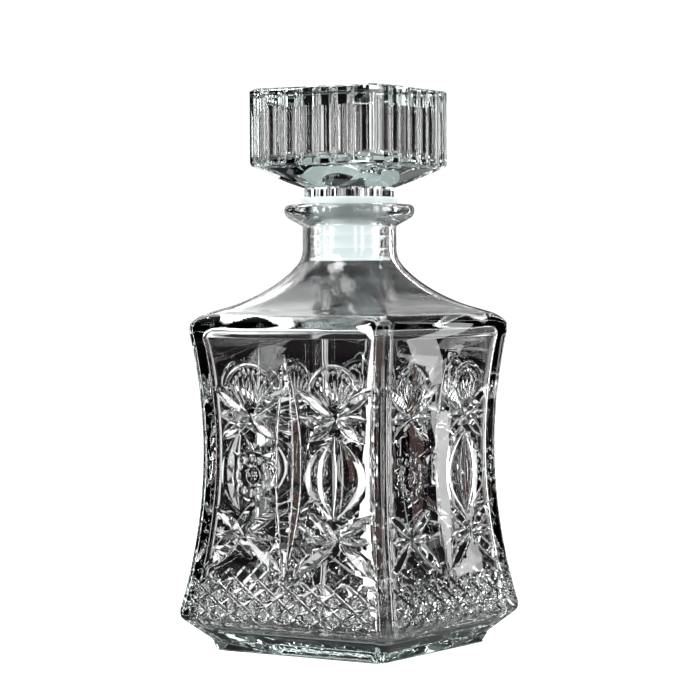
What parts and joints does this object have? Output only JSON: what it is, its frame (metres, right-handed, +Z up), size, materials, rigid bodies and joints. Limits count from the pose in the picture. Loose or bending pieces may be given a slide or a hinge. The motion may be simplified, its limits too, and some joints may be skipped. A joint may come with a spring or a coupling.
{
  "type": "glass decanter",
  "caption": "Square waisted decanter in cut glass: sloping shoulder, round neck and rolled lip, with a fluted square hollow stopper on a ribbed plastic sleeve. Stopper lifts out and turns.",
  "frame": {"origin": "middle of the foot's underside, on the surface that the bottle stands on", "axes": "+Z up along the axis of the neck; X and Y square to the flat sides of the body"},
  "size_m": [0.1046, 0.1046, 0.23],
  "materials": {
    "bottle_glass": "polished",
    "seal_plastic": "satin",
    "stopper_glass": "polished"
  },
  "bodies": {
    "bottle": {"bottle": "bottle_glass"},
    "sleeve": {"seal": "seal_plastic"},
    "stopper": {"stopper": "stopper_glass"}
  },
  "joints": [
    {"name": "stopper_lift", "type": "slide", "parent": "bottle", "child": "sleeve", "axis": [0, 0, 1], "range_m": [0, 0.06]},
    {"name": "stopper_turn", "type": "hinge", "parent": "sleeve", "child": "stopper", "pos_m": [0, 0, 0.1858], "axis": [0, 0, 1], "continuous": true}
  ]
}
